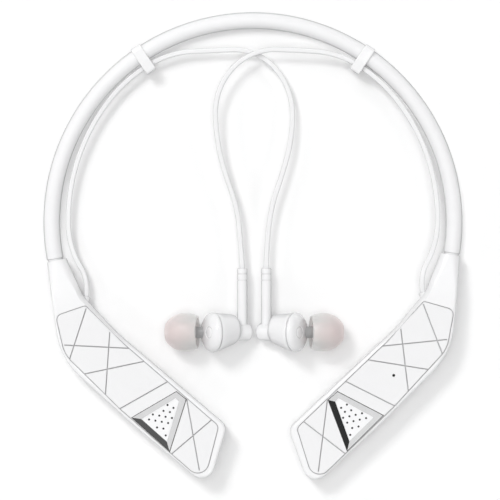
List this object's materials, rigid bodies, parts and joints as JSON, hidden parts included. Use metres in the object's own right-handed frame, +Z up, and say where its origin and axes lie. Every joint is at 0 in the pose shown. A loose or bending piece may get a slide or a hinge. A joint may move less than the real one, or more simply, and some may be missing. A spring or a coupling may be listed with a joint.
{
  "type": "neckband earphones",
  "caption": "Neckband earphones: a curved soft tube joins two faceted control wings, with clipped cables running to two slanted in-ear buds with soft tips.",
  "frame": {"origin": "centre of the neckband tube's arc, on the plane that the wings lie on", "axes": "+Y to the back of the neck, +X to the wing that carries the play and volume keys, +Z up from the resting plane"},
  "size_m": [0.142, 0.1581, 0.0156],
  "materials": {
    "white_shell": "gloss",
    "white_panel": "satin",
    "white_silicone": "satin",
    "white_cable": "satin",
    "white_cap": "gloss",
    "bud_body": "satin",
    "chrome_trim": "polished",
    "grille_plate": "satin",
    "tip_silicone": "translucent satin",
    "spring_steel": "drawn",
    "lead_jacket": "satin",
    "cell_pouch": "satin",
    "circuit_board": "solder mask",
    "chip_black": "matte",
    "plated_steel": "plated",
    "speaker_black": "matte"
  },
  "bodies": {
    "neckband": {"neckband_sleeve": "white_silicone", "spring_wire": "spring_steel", "band_harness": "lead_jacket", "left_bottom_shell": "white_shell", "left_top_shell": "white_shell", "left_cover_panel": "white_panel", "left_bezel": "chrome_trim", "left_grille": "grille_plate", "left_speaker": "speaker_black", "left_case_screws": "plated_steel", "left_cable_grommet": "white_silicone", "left_fixed_cable": "white_cable", "right_bottom_shell": "white_shell", "right_top_shell": "white_shell", "right_cover_panel": "white_panel", "right_bezel": "chrome_trim", "right_grille": "grille_plate", "right_speaker": "speaker_black", "right_case_screws": "plated_steel", "right_cable_grommet": "white_silicone", "right_fixed_cable": "white_cable", "battery": "cell_pouch", "power_board": "circuit_board", "charging_port": "plated_steel", "power_switch": "chip_black", "main_board": "circuit_board", "board_chips": "chip_black", "key_switches": "chip_black", "microphone": "speaker_black"},
    "left_bud": {"left_front_cap": "white_cap", "left_rear_housing": "bud_body", "left_stem": "white_silicone", "left_nozzle_mesh": "plated_steel", "left_driver": "speaker_black", "left_driver_magnet": "plated_steel", "left_bud_cable": "white_cable"},
    "left_tip": {"left_ear_tip": "tip_silicone"},
    "left_clip": {"left_clip": "white_shell"},
    "right_bud": {"right_front_cap": "white_cap", "right_rear_housing": "bud_body", "right_stem": "white_silicone", "right_nozzle_mesh": "plated_steel", "right_driver": "speaker_black", "right_driver_magnet": "plated_steel", "right_bud_cable": "white_cable"},
    "right_tip": {"right_ear_tip": "tip_silicone"},
    "right_clip": {"right_clip": "white_shell"},
    "play_button": {"play_button": "white_shell"},
    "volume_rocker": {"volume_rocker": "white_shell"},
    "power_slider": {"power_slider": "white_shell"},
    "port_lid": {"port_lid": "white_silicone"}
  },
  "joints": [
    {"name": "left_bud_lift", "type": "hinge", "parent": "neckband", "child": "left_bud", "pos_m": [-0.0127, 0.036, 0.00645], "axis": [-1, 0, 0], "range_deg": [0, 75]},
    {"name": "right_bud_lift", "type": "hinge", "parent": "neckband", "child": "right_bud", "pos_m": [0.0134, 0.036, 0.00435], "axis": [-1, 0, 0], "range_deg": [0, 75]},
    {"name": "left_tip_pull", "type": "slide", "parent": "left_bud", "child": "left_tip", "axis": [-0.9907, 0, -0.1357], "range_m": [0, 0.007]},
    {"name": "right_tip_pull", "type": "slide", "parent": "right_bud", "child": "right_tip", "axis": [0.9907, 0, -0.1357], "range_m": [0, 0.007]},
    {"name": "left_clip_slide", "type": "hinge", "parent": "neckband", "child": "left_clip", "pos_m": [0, 0, 0.0054], "axis": [0, 0, 1], "range_deg": [0, 12]},
    {"name": "right_clip_slide", "type": "hinge", "parent": "neckband", "child": "right_clip", "pos_m": [0, 0, 0.0054], "axis": [0, 0, -1], "range_deg": [0, 12]},
    {"name": "play_button_press", "type": "slide", "parent": "neckband", "child": "play_button", "axis": [0.6837, -0.7297, 0], "range_m": [0, 0.00025], "stiffness_N_per_m": 400},
    {"name": "volume_rocker_tilt", "type": "hinge", "parent": "neckband", "child": "volume_rocker", "pos_m": [0.03987, -0.04559, 0.0054], "axis": [0, 0, 1], "range_deg": [-2, 2], "stiffness_Nm_per_rad": 0.02},
    {"name": "power_slider_slide", "type": "slide", "parent": "neckband", "child": "power_slider", "axis": [0.6749, -0.7379, 0], "range_m": [0, 0.0019]},
    {"name": "port_lid_swing", "type": "hinge", "parent": "neckband", "child": "port_lid", "pos_m": [-0.03847, -0.04401, 0.0054], "axis": [0, 0, 1], "range_deg": [0, 90]}
  ]
}
